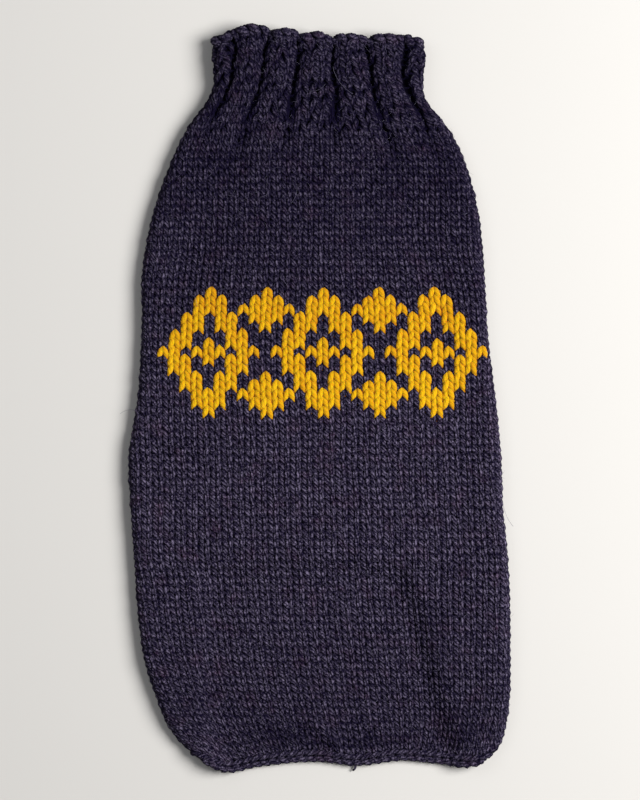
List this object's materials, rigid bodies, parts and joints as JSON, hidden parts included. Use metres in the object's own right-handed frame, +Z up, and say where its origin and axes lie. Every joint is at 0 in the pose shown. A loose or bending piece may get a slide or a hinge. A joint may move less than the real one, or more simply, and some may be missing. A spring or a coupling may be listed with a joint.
{
  "type": "dog sweater",
  "caption": "Hand-knitted dog sweater laid flat: ribbed collar, plain back folded round to a belly panel, leg openings underneath, bound hem.",
  "frame": {"origin": "on the surface that the sweater lies on, below the middle of its outline", "axes": "+Y from the hem to the neck, +X across, to the right with the back seen from above and the neck away, +Z up out of the back"},
  "size_m": [0.1872, 0.3673, 0.0112],
  "materials": {
    "navy_knit": "matt hand-knitted wool",
    "navy_rib": "matt ribbed wool",
    "yellow_knit": "matt hand-knitted wool"
  },
  "bodies": {
    "root": {"collar": "navy_rib", "back_panel": "navy_knit", "belly_panel": "navy_knit", "hem_edging": "navy_knit"}
  },
  "joints": []
}
